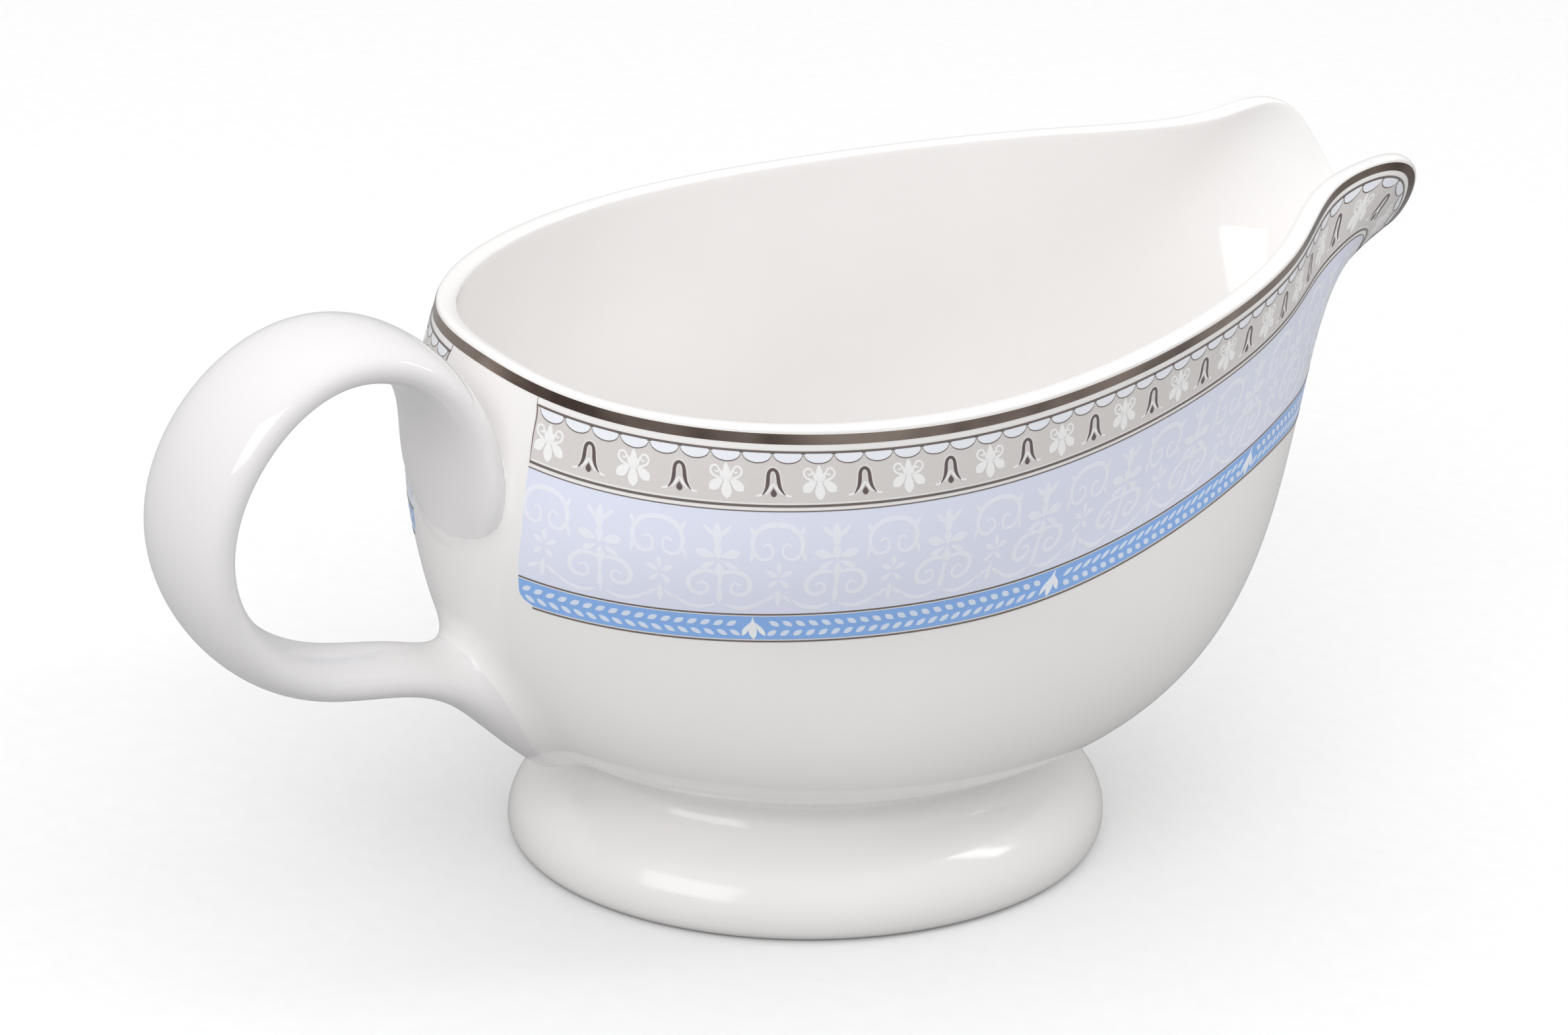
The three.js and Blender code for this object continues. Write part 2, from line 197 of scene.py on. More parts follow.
class Wall:
    """The wall's outside by angle and by depth below the rim, from a fine table."""

    ANGLES, SHARES = 1441, 321
    STEP = 0.2
    DEEPEST = 46.0

    def __init__(self):
        self.angles = np.linspace(-math.pi, math.pi, self.ANGLES)
        shares = np.linspace(0, 1, self.SHARES)
        points, normals = wall_grid(self.angles, shares)
        lengths = np.linalg.norm(np.diff(points[::-1], axis=0), axis=2)
        depth = np.concatenate([np.zeros((1, len(self.angles))), np.cumsum(lengths, axis=0)])
        self.depths = np.arange(0, self.DEEPEST + self.STEP, self.STEP)
        both = np.concatenate([points, normals], axis=2)[::-1]
        self.table = np.empty((len(self.depths), len(self.angles), 6))
        for j in range(len(self.angles)):
            for k in range(6):
                self.table[:, j, k] = np.interp(self.depths, depth[:, j], both[:, j, k])

    def at(self, angle, depth, lift=0.0):
        """Points at angles and nominal depths, standing lift off the glaze."""
        lowness = np.clip((depth - FRIEZE[1]) / (LAUREL[1] - FRIEZE[1]), 0, None)
        lean = np.interp(depth, *END_LEAN)
        throat = np.exp(-(((np.abs(angle) - THROAT) / THROAT_SPREAD) ** 2))
        into_frieze = np.clip(depth - FRIEZE[0], 0, DAMASK[0] - FRIEZE[0])
        depth = depth + THROAT_STRETCH * throat * into_frieze
        angle = np.clip(angle * np.where(np.abs(angle) < LEAN_LIMIT, lean, 1), -math.pi, math.pi)
        near_back = np.exp(-(((math.pi - np.abs(angle)) / BACK_SPREAD) ** 2))
        swing = DEEPER_AT_SPOUT * near_spout(angle) - SHALLOWER_AT_BACK * near_back
        depth = depth + lowness * swing
        u = (angle + math.pi) / (self.angles[1] - self.angles[0])
        v = np.clip(depth, 0, self.DEEPEST - self.STEP) / self.STEP
        i = np.clip(u.astype(int), 0, len(self.angles) - 2)
        j = np.clip(v.astype(int), 0, len(self.depths) - 2)
        fu, fv = (u - i)[..., None], (v - j)[..., None]
        t = self.table
        found = (t[j, i] * (1 - fu) + t[j, i + 1] * fu) * (1 - fv)
        found += (t[j + 1, i] * (1 - fu) + t[j + 1, i + 1] * fu) * fv
        normal = found[..., 3:] / np.linalg.norm(found[..., 3:], axis=-1)[..., None]
        return found[..., :3] + normal * np.asarray(lift)[..., None]


wall = Wall()


class Band:
    """Flat coordinates on a band of the wall: s along its middle depth, and depth."""

    STEPS = 2401

    def __init__(self, middle):
        angles = np.linspace(*TRANSFER_ENDS, self.STEPS)
        points = wall.at(angles, np.full_like(angles, middle))
        s = np.concatenate([[0], np.cumsum(np.linalg.norm(np.diff(points, axis=0), axis=1))])
        self.half = s[-1] / 2
        self.s, self.angles = s - self.half, angles

    def at(self, s, depth, lift):
        angle = np.interp(s, self.s, self.angles)
        return wall.at(angle, np.asarray(depth, float), lift)


# ------------------------------------------------------------------ meshes
def to_world(points):
    return (np.asarray(points, float) + [SHIFT_X, 0, 0]) * MM


def make_piece(name, points, faces, material, replaces):
    mesh = bpy.data.meshes.new(name)
    mesh.from_pydata(to_world(points).tolist(), [], [list(map(int, f)) for f in faces])
    mesh.validate()
    mesh.update()
    mesh.set_sharp_from_angle(angle=CREASE_ANGLE)
    mesh.polygons.foreach_set("use_smooth", [True] * len(mesh.polygons))
    piece = bpy.data.objects.new(name, mesh)
    bpy.context.scene.collection.objects.link(piece)
    mesh.materials.append(material)
    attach(piece, "root")
    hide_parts(*replaces)
    return piece


def grid_faces(rows, columns, close_columns=True, close_rows=False):
    """Quads between the rows of a grid of points."""
    faces = []
    for r in range(rows if close_rows else rows - 1):
        up = (r + 1) % rows
        for c in range(columns if close_columns else columns - 1):
            n = (c + 1) % columns
            faces.append((r * columns + c, r * columns + n, up * columns + n, up * columns + c))
    return faces


def capped(rings):
    """Points and faces of a body made of closed rings, its two ends closed with fans."""
    count, columns = rings.shape[:2]
    points = rings.reshape(-1, 3)
    faces = grid_faces(count, columns)
    for ring, flip in ((0, True), (count - 1, False)):
        hub = len(points)
        points = np.vstack([points, rings[ring].mean(0)])
        for c in range(columns):
            a, b = ring * columns + c, ring * columns + (c + 1) % columns
            faces.append((hub, b, a) if flip else (hub, a, b))
    return points, faces


def full_turn(count):
    return np.arange(count) * 2 * math.pi / count


# ------------------------------------------------------------------ the three castings
UNDERSIDE_SHARES = (0.2, 0.4, 0.6, 0.8, 0.93)  # rings across the bowl's underside and its floor


def bowl_mesh():
    """The bowl: outside from the neck up, over the rounded lip, and down the inside."""
    angles = full_turn(BOWL_COLUMNS)
    outside, normals = wall_grid(angles, np.linspace(0, 1, OUTSIDE_ROWS))
    top, top_normal = outside[-1], normals[-1]
    upward = outside[-1] - outside[-2]
    upward /= np.linalg.norm(upward, axis=1)[:, None]
    lip = []
    for turn in np.linspace(0, math.pi, LIP_ROWS + 2)[1:-1]:
        inset = WALL / 2 * (1 - math.cos(turn))
        lip.append(top - top_normal * inset + upward * LIP_ROUNDING * math.sin(turn))
    inside, inner_normals = wall_grid(angles, np.linspace(1, 0, INSIDE_ROWS))
    inside = inside - inner_normals * WALL
    floor_z = inside[-1][:, 2].mean()
    floor = [
        inside[-1] * [k, k, 0] + [0, 0, floor_z - INNER_FLOOR_DIP * (1 - k)]
        for k in UNDERSIDE_SHARES[::-1]
    ]
    underside = [outside[0] * [k, k, 1] for k in UNDERSIDE_SHARES]
    return capped(np.concatenate([underside, outside, lip, inside, floor]))


def outline(points, per_span):
    """A smooth line through a few section points."""
    points = np.array(points, float)
    length = np.concatenate([[0], np.cumsum(np.linalg.norm(np.diff(points, axis=0), axis=1))])
    steps = per_span * (len(points) - 1) + 1
    return natural_spline(length, points)(np.linspace(0, length[-1], steps))


def foot_mesh():
    """The hollow spreading foot, closed over its flat ground edge."""
    section = np.vstack([outline(FOOT_OUTSIDE, 8), outline(FOOT_INSIDE, 6)])
    angles = full_turn(BOWL_COLUMNS)
    rings = np.array([oval((FOOT[0] - i, FOOT[1] - i, 0.0, z), angles) for i, z in section])
    return rings.reshape(-1, 3), grid_faces(len(rings), BOWL_COLUMNS, close_rows=True)


def strap_mesh():
    """The strap handle swept along its centre line, with a rounded tongue and a tapering tail."""
    stations = np.array(STRAP)
    knots = np.concatenate([[0], np.cumsum(np.hypot(*np.diff(stations[:, :2], axis=0).T))])
    at = natural_spline(knots, stations)
    s = np.linspace(0, knots[-1], STRAP_ROWS)
    step = 0.1
    along = at(s + step)[:, :2] - at(s - step)[:, :2]
    along /= np.linalg.norm(along, axis=1)[:, None]
    middle = at(s)
    turn = full_turn(STRAP_SIDES)
    rounded = np.sign(np.sin(turn)) * np.abs(np.sin(turn)) ** STRAP_SQUARENESS
    rings = []
    for (x, z, width, thick), (tx, tz) in zip(middle, along):
        side = np.cos(turn) * width / 2
        rise = rounded * (thick / 2 - STRAP_INSET)
        rings.append(np.stack([x - tz * rise, side, z + tx * rise], -1))
    return capped(np.array(rings))


# ------------------------------------------------------------------ soft joints between castings
class Solid:
    """A closed mesh's signed distance in millimetres, negative inside."""

    def __init__(self, points, faces):
        self.points, self.faces = np.asarray(points, float), faces
        self.tree = BVHTree.FromPolygons(self.points.tolist(), faces)

    def distance(self, point):
        near, normal, _, far = self.tree.find_nearest(point)
        return math.copysign(far, (Vector(point) - near).dot(normal))


def smooth_min(a, b, size):
    """The smaller of two distances, rounded where they are within size of each other."""
    h = max(size - abs(a - b), 0.0) / size
    return min(a, b) - h * h * size / 4


DIVE = 0.09  # how deep a casting goes beneath its neighbour past their joint, and over what width
DIVE_WIDTH = 1.0
FILLET_REACH = 1.6  # a point takes part in a joint within this many fillet sizes of its neighbour
FILLET_PASSES = 8
CLOSE_ENOUGH = 0.004
LONGEST_MOVE = 1.0
PROBE = 0.02  # spacing of the points that measure a distance's slope
FLATTEST_SLOPE = 0.2


def ramp(low, high, x):
    return min(max((x - low) / (high - low), 0.0), 1.0)


def flow_into(mine, others, count=None):
    """Moves a mesh's first points out to the fillet where it meets other solids, and dives it just
    under their surface past the fillet's end. others is a list of (solid, size function)."""
    moved = mine.points.copy()
    for i, point in enumerate(mine.points[:count]):
        for other, size_at in others:
            size = size_at(point)
            if size <= 0 or abs(other.distance(point)) > size * FILLET_REACH:
                continue
            moved[i] = fillet_point(point, mine, other, size)
    return moved


def fillet_point(start, mine, other, size):
    """The point of the joint's surface that start moves to, by steps down the blended distance."""
    point = np.array(start)

    def blended(p):
        own, far = mine.distance(p), other.distance(p)
        under = DIVE * ramp(0.0, DIVE_WIDTH, own - far)
        return smooth_min(own, far, size) + under

    for _ in range(FILLET_PASSES):
        value = blended(point)
        if abs(value) < CLOSE_ENOUGH:
            break
        slope = np.array(
            [blended(point + PROBE * axis) - blended(point - PROBE * axis) for axis in np.eye(3)]
        ) / (2 * PROBE)
        length = np.linalg.norm(slope)
        if length < FLATTEST_SLOPE:
            break
        move = max(-LONGEST_MOVE, min(LONGEST_MOVE, value / length))
        point = point - slope / length * move
    return point


def cast(name, points, faces, material):
    return make_piece(name, points, faces, material, (name,))


# ------------------------------------------------------------------ materials
def linear(srgb):
    """Linear light from a colour picked on a 0 to 255 display scale."""
    c = np.array(srgb, float) / 255
    low, high = c / 12.92, ((c + 0.055) / 1.055) ** 2.4
    return (*np.where(c <= 0.04045, low, high).tolist(), 1.0)


# Parts of a noise's range, 0 to 1, that an effect is spread over: narrower gives harder edges.
NOISE_SPAN, GRAIN_SPAN, WEAR_SPAN = (0.3, 0.7), (0.35, 0.65), (0.38, 0.62)
WAVE_SCALE, WAVE_HEIGHT = 34.0, 0.00006  # the faint unevenness of the glaze, its height in metres
INK_GRAIN, INK_FLECK, INK_GLOSS = 3200.0, 0.35, 0.09
MARK_HEIGHT = 0.00003  # of the brush marks in the metal, in metres


class Shader:
    """A small helper to lay out the nodes of one material."""

    def __init__(self, name):
        self.material = bpy.data.materials.new(name)
        self.material.use_nodes = True
        self.tree = self.material.node_tree
        self.surface = self.tree.nodes["Principled BSDF"]
        self.place = self.add("ShaderNodeTexCoord").outputs["Object"]

    def feed(self, socket, value):
        """Gives an input socket a constant, or links another node's output to it."""
        if isinstance(value, bpy.types.NodeSocket):
            self.tree.links.new(value, socket)
        else:
            socket.default_value = value

    def add(self, kind, **inputs):
        node = self.tree.nodes.new(kind)
        for key, value in inputs.items():
            self.feed(node.inputs[key.replace("_", " ")], value)
        return node

    def noise(self, scale, detail, roughness=0.55):
        return self.add(
            "ShaderNodeTexNoise", Vector=self.place, Scale=scale, Detail=detail, Roughness=roughness
        ).outputs["Fac"]

    def spread(self, value, low, high, to_low, to_high):
        node = self.add(
            "ShaderNodeMapRange", Value=value, From_Min=low, From_Max=high,
            To_Min=to_low, To_Max=to_high,
        )
        return node.outputs["Result"]

    def mottle(self, scale, detail, to_low, to_high):
        """Noise spread between two values."""
        return self.spread(self.noise(scale, detail), *NOISE_SPAN, to_low, to_high)

    def blend(self, share, first, second):
        """A mix of two colours. Sockets 0, 6 and 7 are the node's share and its two colours."""
        node = self.tree.nodes.new("ShaderNodeMix")
        node.data_type = "RGBA"
        self.feed(node.inputs[0], share)
        self.feed(node.inputs[6], first)
        self.feed(node.inputs[7], second)
        return node.outputs[2]

    def bump(self, value, distance):
        node = self.add("ShaderNodeBump", Height=value, Distance=distance, Strength=1.0)
        self.feed(self.surface.inputs["Normal"], node.outputs["Normal"])

    def set(self, **inputs):
        for key, value in inputs.items():
            self.feed(self.surface.inputs[key.replace("_", " ")], value)
        return self.material


def glazed(name, colour, shade, gloss=0.06):
    """Glazed china: a body colour that drifts a little, under clear glaze with faint waves."""
    shader = Shader(name)
    tint = shader.blend(shader.mottle(26.0, 4.0, 0.0, 1.0), linear(colour), linear(shade))
    rough = shader.mottle(140.0, 5.0, gloss * 0.7, gloss * 1.5)
    shader.bump(shader.noise(WAVE_SCALE, 2.0), WAVE_HEIGHT)
    return shader.set(Base_Color=tint, Roughness=rough, IOR=1.52)


def inked(name, colour, shade):
    """A printed transfer under the glaze: ink with a fine grain and a slow change in strength."""
    shader = Shader(name)
    fine = shader.spread(shader.noise(INK_GRAIN, 2.0), *GRAIN_SPAN, 0.0, INK_FLECK)
    slow = shader.mottle(60.0, 3.0, 0.0, 0.5)
    between = tuple(0.5 * (a + b) for a, b in zip(colour, shade))
    tint = shader.blend(fine, linear(colour), linear(shade))
    tint = shader.blend(slow, tint, linear(between))
    rough = shader.mottle(180.0, 4.0, INK_GLOSS * 0.7, INK_GLOSS * 1.4)
    shader.bump(shader.noise(WAVE_SCALE, 2.0), WAVE_HEIGHT)
    return shader.set(Base_Color=tint, Roughness=rough, IOR=1.5)


def lustre(name, colour, shade):
    """Burnished metal: fine brush marks and slight wear."""
    shader = Shader(name)
    marks = shader.noise(420.0, 6.0, 0.7)
    worn = shader.spread(shader.noise(38.0, 3.0), *WEAR_SPAN, 0.0, 1.0)
    tint = shader.blend(worn, linear(colour), linear(shade))
    rough = shader.spread(marks, *NOISE_SPAN, 0.14, 0.3)
    shader.bump(marks, MARK_HEIGHT)
    return shader.set(Base_Color=tint, Roughness=rough, Metallic=1.0)


PORCELAIN = glazed("glazed_porcelain", (247, 245, 244), (243, 241, 240))
# The handle is the same porcelain as the bowl. Its colour is set a little darker as painted shade,
# which dims its brightly lit top.
HANDLE_GLAZE_PAINTED_SHADE = glazed("handle_porcelain_painted_shade", (238, 236, 236), (234, 232, 232))
FOOT_GLAZE = glazed("foot_porcelain", (241, 239, 238), (237, 235, 234), gloss=0.13)


# ------------------------------------------------------------------ the castings, joined softly
bowl = Solid(*bowl_mesh())
foot = Solid(*foot_mesh())
strap = Solid(*strap_mesh())

FOOT_FILLET, FOOT_JOINT_TOP = 2.6, 24
TAIL_FILLET, TONGUE_FILLET = 7.0, 1.5
TAIL_TOP, TONGUE_BOTTOM = 42, 54  # heights between which the one fillet turns into the other
HANDLE_JOINT_X, HANDLE_JOINT_Y = -40, 20  # the joint lies behind this x and within this |y|


def foot_joint(point):
    """The fillet's size at a point of the bowl or the foot, 0 away from their joint."""
    return FOOT_FILLET if point[2] < FOOT_JOINT_TOP else 0.0


def handle_joint(point):
    """The fillet's size at a point of the bowl or the handle, 0 away from their joint."""
    if point[0] > HANDLE_JOINT_X or abs(point[1]) > HANDLE_JOINT_Y:
        return 0.0
    return TAIL_FILLET + (TONGUE_FILLET - TAIL_FILLET) * ramp(TAIL_TOP, TONGUE_BOTTOM, point[2])


def within_wall(points):
    """Points that reach through the bowl's wall, brought back to the middle of its thickness."""
    outside, _ = wall_grid(full_turn(BOWL_COLUMNS), np.linspace(0, 1, OUTSIDE_ROWS))
    faces = grid_faces(OUTSIDE_ROWS, BOWL_COLUMNS)
    skin = BVHTree.FromPolygons(outside.reshape(-1, 3).tolist(), faces)
    for i, point in enumerate(points):
        near, normal, _, far = skin.find_nearest(point)
        if far > WALL / 2 and (Vector(point) - near).dot(normal) < 0:
            points[i] = near - normal * WALL / 2
    return points


# Only the bowl's underside and outside take part in the joints; they are its first points.
BOWL_OUTER_POINTS = (len(UNDERSIDE_SHARES) + OUTSIDE_ROWS) * BOWL_COLUMNS
bowl_joints = [(foot, foot_joint), (strap, handle_joint)]
cast("bowl", flow_into(bowl, bowl_joints, BOWL_OUTER_POINTS), bowl.faces, PORCELAIN)
cast("foot", flow_into(foot, [(bowl, foot_joint)]), foot.faces, FOOT_GLAZE)
cast(
    "handle", within_wall(flow_into(strap, [(bowl, handle_joint)])), strap.faces, HANDLE_GLAZE_PAINTED_SHADE
)


# ------------------------------------------------------------------ transfers
# How far the inks stand off the glaze, so that each shows over the one beneath it.
GROUND_LIFT, SCROLL_LIFT, PALE_LIFT, LINE_LIFT, DARK_LIFT = 0.04, 0.062, 0.08, 0.085, 0.1
ACCENT_LIFT = 0.09
PLATINUM_LIFT = 0.06
ROOT_LIFT = -0.03  # how far an inlay's underside dives beneath the glaze
GROUND_STEP, LINE_STEP, STROKE_STEP = 0.6, 0.8, 0.28  # how finely the inlays are divided
FINEST_HALF = 0.02  # the least half width of a stroke
CORNER_STEEPNESS = 0.98  # just under 1, so that a rounded corner never folds over


def slab(name, band, top, bottom, lift, material, slot, nodes, corner=0.0):
    """A strip of the band between two depths, closed, its lower end corners rounded."""
    columns = max(int(2 * band.half / GROUND_STEP), 2)
    rows = max(int((bottom - top) / GROUND_STEP), 1) + 1
    s, down = np.meshgrid(
        np.linspace(-band.half, band.half, columns + 1), np.linspace(top, bottom, rows)
    )
    if corner:
        low = np.clip((down - (bottom - corner)) / corner, 0, 1)
        cut = corner * (1 - np.sqrt(1 - low**2 * CORNER_STEEPNESS))
        s = s * (1 - cut / band.half)
    outer = band.at(s, down, lift)
    inner = band.at(s, down, ROOT_LIFT)
    return sheet_pair(name, outer, inner, material, nodes)


def sheet_pair(name, outer, inner, material, nodes, wrap=False):
    """Two grids of the same shape, one over the other, joined along their edges."""
    rows, columns = outer.shape[:2]
    count = rows * columns
    points = np.concatenate([outer.reshape(-1, 3), inner.reshape(-1, 3)])
    lower = grid_faces(rows, columns, close_columns=wrap)
    faces = [f[::-1] for f in lower] + [tuple(count + i for i in f) for f in lower]
    edge = [(0, c, c + 1) for c in range(columns - 1 + wrap)]
    edge += [(rows - 1, c + 1, c) for c in range(columns - 1 + wrap)]
    for r, a, b in edge:
        a, b = r * columns + a % columns, r * columns + b % columns
        faces.append((a, b, count + b, count + a))
    if not wrap:
        for r in range(rows - 1):
            for a, b in ((r + 1, r), (r, r + 1)):
                c = 0 if a > b else columns - 1
                a, b = a * columns + c, b * columns + c
                faces.append((a, b, count + b, count + a))
    return make_piece(name, points, faces, material, nodes)


class Inlay:
    """Flat shapes laid on a band as thin closed bodies, gathered into one piece."""

    def __init__(self, band, depth):
        self.band, self.depth = band, depth
        self.flat, self.faces = [], []
        self.start = 0

    def strip(self, left, right):
        """A strip of quads between two lines of points (u along the band, v up)."""
        n = len(left)
        self.flat += [np.asarray(left, float), np.asarray(right, float)]
        a = self.start
        self.faces += [(a + i, a + i + 1, a + n + i + 1, a + n + i) for i in range(n - 1)]
        self.start += 2 * n

    def stroke(self, path, widths, place=(0, 0), flip=1, steps=None):
        """A line of changing width through a few points."""
        path = np.array(path, float) * [flip, 1.0]
        length = np.concatenate([[0], np.cumsum(np.linalg.norm(np.diff(path, axis=0), axis=1))])
        steps = steps or max(int(length[-1] / STROKE_STEP), 5)
        t = np.linspace(0, length[-1], steps + 1)
        centre = natural_spline(length, path)(t)
        spread = np.linspace(0, length[-1], len(widths))
        half = np.maximum(np.interp(t, spread, widths) / 2, FINEST_HALF)
        along = np.gradient(centre, axis=0)
        along /= np.maximum(np.linalg.norm(along, axis=1), 1e-9)[:, None]
        side = np.stack([-along[:, 1], along[:, 0]], -1) * half[:, None]
        self.strip(centre - side + place, centre + side + place)

    def leaf(self, root, tip, width, place=(0, 0), flip=1, fullest=0.5, steps=8):
        """A petal: pointed at fullest 0.5, club shaped nearer 1."""
        t = np.linspace(0, 1, steps + 1)
        power = math.log(0.5) / math.log(fullest)
        widths = width * np.sin(math.pi * t**power) ** 0.75
        (x, y), (dx, dy) = root, (tip[0] - root[0], tip[1] - root[1])
        path = [(x + dx * k, y + dy * k) for k in (0, 0.5, 1)]
        self.stroke(path, widths, place, flip, steps)

    def line(self, depth_top, depth_bottom, short=0.0):
        """A line along the band between two depths, stopping short of the band's ends."""
        stop = self.band.half - short
        u = np.linspace(-stop, stop, int(2 * stop / LINE_STEP))
        low = np.stack([u, np.full_like(u, self.depth - depth_bottom)], -1)
        high = np.stack([u, np.full_like(u, self.depth - depth_top)], -1)
        self.strip(low, high)

    def piece(self, name, lift, material, slot, nodes):
        """Makes the piece: every shape's face, its underside beneath the glaze, and its edges."""
        flat = np.concatenate(self.flat)
        depth = self.depth - flat[:, 1]
        outer = self.band.at(flat[:, 0], depth, lift)
        inner = self.band.at(flat[:, 0], depth, ROOT_LIFT)
        count = len(flat)
        faces = list(self.faces) + [tuple(count + i for i in f[::-1]) for f in self.faces]
        edges = dict.fromkeys(edge for f in self.faces for edge in zip(f, f[1:] + f[:1]))
        faces += [(b, a, count + a, count + b) for a, b in edges if (b, a) not in edges]
        return make_piece(name, np.concatenate([outer, inner]), faces, material, nodes)


GREY_INK = inked("frieze_grey", (222, 217, 215), (213, 208, 206))
PALE_BLUE_INK = inked("damask_pale_blue", (230, 234, 250), (224, 229, 248))
BLUE_INK = inked("laurel_blue", (146, 187, 243), (127, 172, 236))
WHITE_INK = inked("frieze_white", (250, 250, 249), (242, 242, 243))
GLOW_INK = inked("frieze_light_grey", (234, 231, 229), (226, 223, 221))
SCALLOP_INK = inked("scallop_blue_white", (245, 247, 252), (232, 238, 250))
DARK_INK = inked("frieze_dark_brown", (104, 92, 92), (84, 73, 74))
LINE_INK = inked("border_line_brown", (118, 108, 104), (92, 82, 78))
DAMASK_INK = inked("damask_white", (242, 244, 252), (236, 240, 251))
LEAF_INK = inked("laurel_leaf_white", (226, 236, 252), (214, 227, 249))
ACCENT_INK = inked("laurel_accent_white", (246, 249, 253), (236, 242, 251))
PLATINUM_LINE = lustre("platinum_lustre", (166, 152, 142), (90, 77, 71))

# Platinum line, all the way round.
ring_angle, ring_depth = np.meshgrid(
    full_turn(2 * BOWL_COLUMNS) - math.pi, np.linspace(*PLATINUM, 5)
)
sheet_pair(
    "rim_line", wall.at(ring_angle, ring_depth, PLATINUM_LIFT),
    wall.at(ring_angle, ring_depth, ROOT_LIFT), PLATINUM_LINE, ("rim_line",), wrap=True,
)

# Grey frieze under a scalloped edge, with palmettes and bell flowers in turn.
FRIEZE_TOP_LINE = (2.6, 2.9)
GREY = (2.8, 9.7)
FRIEZE_LINES = ((10.0, 10.33), (10.84, 10.98))
FRIEZE_MIDDLE = 6.3
MOTIF_DEPTH = 6.95
MOTIF_PERIOD = 12.3
END_MARGIN = 2.7
SCALLOPS_PER_PERIOD = 3
SCALLOP_RISE = 1.35
NARROWEST_SCALLOP = 1.0
SCALLOP_INSET, ARC_INSET = 0.05, 0.03  # off a scallop's ends, and off the half width of its arc
SCALLOP_STEPS = 13
SCALLOP_SPILL = 0.03  # how far the pale ink runs under the outline
OUTLINE = (0.09, 0.05)  # how far the dark outline reaches below and above the scallop's edge
CUSP = ((0.28, 3.02), (0.3, 2.8))  # half widths and depths of the dark corner between scallops

frieze = Band(FRIEZE_MIDDLE)
GREY_SLOT, GREY_NODE = "grey_transfer", ("frieze_transfer",)
slab("frieze_ground", frieze, *GREY, GROUND_LIFT, GREY_INK, GREY_SLOT, GREY_NODE)

periods = round((2 * frieze.half - 2 * END_MARGIN) / MOTIF_PERIOD)
period = (2 * frieze.half - 2 * END_MARGIN) / periods
palmettes = [-frieze.half + END_MARGIN + period * k for k in range(periods + 1)]
bells = [p + period / 2 for p in palmettes[:-1]]

lines = Inlay(frieze, 0.0)
lines.line(*FRIEZE_TOP_LINE, short=0.2)
for top, bottom in FRIEZE_LINES:
    lines.line(top, bottom)
for flip in (1, -1):  # the curling line that closes each end
    end = (flip * frieze.half, 0)
    lines.stroke(
        [(0.9, -1.75), (0.1, -2.5), (-0.25, -3.8), (-0.12, -6.0), (0, -9.0), (0.05, -10.3)],
        [0.16, 0.12], end, flip,
    )
scallops = Inlay(frieze, 0.0)
pitch = period / SCALLOPS_PER_PERIOD
for k in range(-1, SCALLOPS_PER_PERIOD * periods + 2):
    middle = palmettes[0] + pitch * k
    low, high = max(middle - pitch / 2, -frieze.half), min(middle + pitch / 2, frieze.half)
    if high - low < NARROWEST_SCALLOP:
        continue
    u = np.linspace(low + SCALLOP_INSET, high - SCALLOP_INSET, SCALLOP_STEPS)
    arc = FRIEZE_TOP_LINE[1] + SCALLOP_RISE * np.sqrt(
        np.clip(1 - ((u - middle) / (pitch / 2 - ARC_INSET)) ** 2, 0, 1)
    )
    top = np.full_like(u, -sum(FRIEZE_TOP_LINE) / 2)
    scallops.strip(np.stack([u, -arc - SCALLOP_SPILL], -1), np.stack([u, top], -1))
    lines.strip(np.stack([u, -arc - OUTLINE[0]], -1), np.stack([u, -arc + OUTLINE[1]], -1))
    lines.strip(*([(high - half, -depth), (high + half, -depth)] for half, depth in CUSP))
scallops.piece("frieze_scallops", SCROLL_LIFT, SCALLOP_INK, GREY_SLOT, GREY_NODE)

# A palmette: a tall middle leaf and a hanging one, side leaves, and a curl at each shoulder.
white = Inlay(frieze, MOTIF_DEPTH)
for p in palmettes:
    at = (p, 0)
    white.leaf((0, -0.6), (0, 2.55), 1.05, at, fullest=0.45)
    white.leaf((0, 1.0), (0, -2.45), 1.35, at, fullest=0.68)
    for side in (1, -1):
        white.leaf((0.1, 0.7), (2.2, -1.3), 1.35, at, side, fullest=0.68)
        white.leaf((0.1, -0.2), (0.85, 1.55), 0.55, at, side)
        white.stroke(
            [(0.3, 0.1), (1.2, 0.42), (1.95, 1.0), (1.92, 1.75), (1.35, 2.0),
             (0.95, 1.55), (1.15, 1.1), (1.5, 1.2)],
            [0.4, 0.3, 0.28, 0.26, 0.2], at, side,
        )
# A bellflower: a dark bell over a pale one, a dark drop, and white stems.
dark = Inlay(frieze, MOTIF_DEPTH)
glow = Inlay(frieze, MOTIF_DEPTH)
BELL = [(-1.5, -1.65), (-0.98, -0.9), (-0.7, 0.15), (-0.6, 1.15), (-0.36, 1.68), (0, 1.85)]
BELL += [(-u, v) for u, v in BELL[-2::-1]]
BELL_WIDTHS = [0.1, 0.34, 0.5, 0.46, 0.42, 0.42, 0.46, 0.5, 0.34, 0.1]
GLOW_WIDTHS = [0.3, 0.7, 0.95, 0.9, 0.86, 0.86, 0.9, 0.95, 0.7, 0.3]
BELL_STEPS = 30
for p in bells:
    at = (p, 0)
    dark.stroke(BELL, BELL_WIDTHS, at, steps=BELL_STEPS)
    dark.leaf((0, -0.75), (0, -1.95), 0.8, at, fullest=0.62)
    glow.stroke(BELL, GLOW_WIDTHS, at, steps=BELL_STEPS)
    for side in (1, -1):
        white.stroke([(0, -0.1), (0.45, -0.85), (1.0, -1.6)], [0.2, 0.26, 0.12], at, side)
        white.stroke([(1.2, -1.15), (1.65, -1.7), (2.3, -1.85)], [0.12, 0.3, 0.2], at, side)
glow.piece("frieze_bell_glow", SCROLL_LIFT, GLOW_INK, GREY_SLOT, GREY_NODE)
white.piece("frieze_palmettes", PALE_LIFT, WHITE_INK, GREY_SLOT, GREY_NODE)
